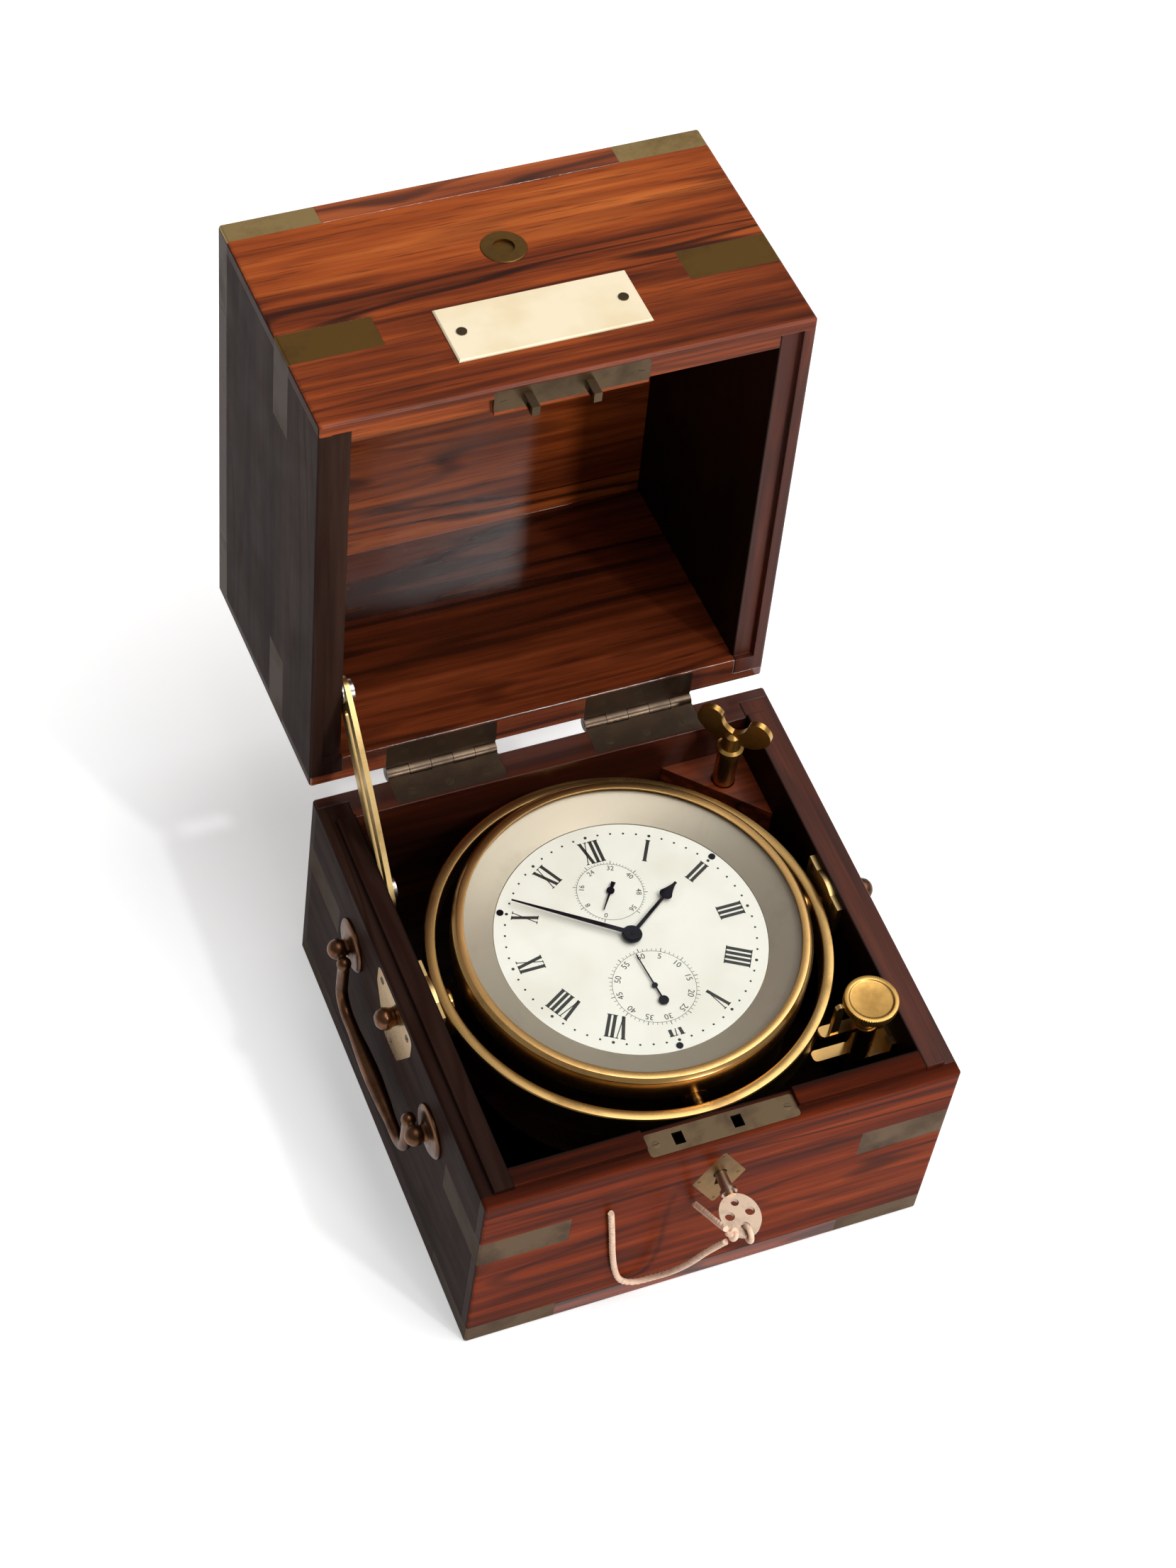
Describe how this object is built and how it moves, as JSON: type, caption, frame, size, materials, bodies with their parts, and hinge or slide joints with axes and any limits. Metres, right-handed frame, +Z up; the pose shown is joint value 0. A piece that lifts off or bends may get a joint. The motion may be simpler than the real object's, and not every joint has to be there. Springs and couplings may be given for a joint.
{
  "type": "marine chronometer in box",
  "caption": "Square brass-bound wooden box with its hinged lid thrown back on a slotted stay, holding a marine chronometer's brass bowl in a gimbal ring, with side handles and keys.",
  "frame": {"origin": "centre of the box's underside, where it stands on a table", "axes": "+Z up; +X to the right as the dial is read; -Y towards the reader, so the lid's hinges are at +Y"},
  "size_m": [0.204, 0.3397, 0.2833],
  "materials": {
    "rosewood": "french polished, gloss",
    "plain_wood": "dull wax",
    "strap_brass": "rubbed flush, lacquer worn",
    "dull_brass": "oxidised",
    "bronzed_brass": "bronzed, worn bright on the grip",
    "gimbal_brass": "lacquered, satin",
    "bowl_brass": "lacquered, polished",
    "silvered": "silvered, brushed in circles",
    "dial_silver": "silvered, matt",
    "hand_steel": "dark blued",
    "steel": "bright, worn",
    "glass": "clear, flat",
    "ivory": "polished bone colour",
    "cord": "tight twisted cotton"
  },
  "bodies": {
    "base": {"base_bottom": "rosewood", "base_front": "rosewood", "base_back": "rosewood", "base_left": "rosewood", "base_right": "rosewood", "base_straps_middle": "strap_brass", "base_straps_foot": "strap_brass", "hinge_leaves_base": "dull_brass", "hinge_pins": "dull_brass", "lock_case": "dull_brass", "escutcheon": "strap_brass", "handle_lugs": "bronzed_brass", "gimbal_outer_plates": "strap_brass", "gimbal_inner_plates": "gimbal_brass", "gimbal_side_screws": "gimbal_brass", "stay_stud": "gimbal_brass", "key_block": "plain_wood", "lock_bracket": "gimbal_brass", "cord_long": "cord", "cord_short": "cord"},
    "lid": {"lid_top": "rosewood", "lid_front": "rosewood", "lid_back": "rosewood", "lid_left": "rosewood", "lid_right": "rosewood", "lid_straps_middle": "strap_brass", "lid_straps_top": "strap_brass", "hinge_leaves_lid": "dull_brass", "link_plate": "dull_brass", "roundel_ring": "strap_brass", "roundel_centre": "bronzed_brass", "name_plate": "ivory", "name_plate_screws": "bronzed_brass", "stay_screw": "gimbal_brass"},
    "stay": {"stay_bar": "gimbal_brass"},
    "left_handle": {"bail_left": "bronzed_brass"},
    "right_handle": {"bail_right": "bronzed_brass"},
    "gimbal": {"gimbal_ring": "gimbal_brass", "gimbal_end_screws": "gimbal_brass"},
    "bowl": {"bowl": "bowl_brass", "bezel": "bowl_brass", "glass": "glass", "dial_surround": "silvered", "dial": "dial_silver", "dial_screws": "steel", "pillar_plate": "gimbal_brass", "top_plate": "gimbal_brass"},
    "hour": {"hour_hand": "hand_steel"},
    "minute": {"minute_hand": "hand_steel"},
    "seconds": {"seconds_hand": "hand_steel"},
    "reserve": {"reserve_hand": "hand_steel"},
    "bolt": {"lock_bolt": "steel"},
    "key": {"box_key": "steel", "cord_knot": "cord"},
    "arm": {"lock_arm": "gimbal_brass"},
    "thumbscrew": {"thumb_screw": "gimbal_brass"},
    "winder": {"winding_key": "gimbal_brass"}
  },
  "joints": [
    {"name": "lid_hinge", "type": "hinge", "parent": "base", "child": "lid", "pos_m": [0, 0.095, 0.097], "axis": [1, 0, 0], "range_deg": [0, 94.7]},
    {"name": "stay_pivot", "type": "hinge", "parent": "lid", "child": "stay", "pos_m": [-0.0777, 0.10379, 0.14293], "axis": [1, 0, 0], "range_deg": [-47.35, 0]},
    {"name": "left_handle_swing", "type": "hinge", "parent": "base", "child": "left_handle", "pos_m": [-0.098, 0, 0.071], "axis": [0, 1, 0], "range_deg": [0, 90]},
    {"name": "right_handle_swing", "type": "hinge", "parent": "base", "child": "right_handle", "pos_m": [0.098, 0, 0.071], "axis": [0, -1, 0], "range_deg": [0, 90]},
    {"name": "gimbal_tilt", "type": "hinge", "parent": "base", "child": "gimbal", "pos_m": [0, 0, 0.0845], "axis": [1, 0, 0], "range_deg": [-20, 20]},
    {"name": "bowl_tilt", "type": "hinge", "parent": "gimbal", "child": "bowl", "pos_m": [0, 0, 0.0845], "axis": [0, 1, 0], "range_deg": [-20, 20]},
    {"name": "minute_turn", "type": "hinge", "parent": "bowl", "child": "minute", "pos_m": [0, 0, 0.0974], "axis": [0, 0, -1], "continuous": true},
    {"name": "hour_turn", "type": "hinge", "parent": "bowl", "child": "hour", "pos_m": [0, 0, 0.0964], "axis": [0, 0, -1], "continuous": true},
    {"name": "seconds_turn", "type": "hinge", "parent": "bowl", "child": "seconds", "pos_m": [0, -0.0226, 0.0954], "axis": [0, 0, -1], "continuous": true},
    {"name": "reserve_turn", "type": "hinge", "parent": "bowl", "child": "reserve", "pos_m": [0, 0.0211, 0.0954], "axis": [0, 0, -1], "range_deg": [-7, 293]},
    {"name": "key_turn", "type": "hinge", "parent": "base", "child": "key", "pos_m": [0, -0.085, 0.0739], "axis": [0, 1, 0], "range_deg": [0, 90]},
    {"name": "bolt_throw", "type": "slide", "parent": "base", "child": "bolt", "axis": [1, 0, 0], "range_m": [0, 0.0045]},
    {"name": "lock_arm_swing", "type": "hinge", "parent": "base", "child": "arm", "pos_m": [0.0687, -0.059, 0.085], "axis": [0, 0, 1], "range_deg": [-90, 60]},
    {"name": "thumbscrew_turn", "type": "hinge", "parent": "base", "child": "thumbscrew", "pos_m": [0.0687, -0.059, 0.1], "axis": [0, 0, 1], "range_deg": [0, 180]},
    {"name": "winding_key_lift", "type": "slide", "parent": "base", "child": "winder", "axis": [0, 0, 1], "range_m": [0, 0.04]}
  ],
  "couplings": [
    {"joint": "stay_pivot", "follows": "lid_hinge", "ratio": -0.5},
    {"joint": "hour_turn", "follows": "minute_turn", "ratio": 0.083333},
    {"joint": "key_turn", "follows": "bolt_throw", "rad_per_m": 349.07}
  ]
}
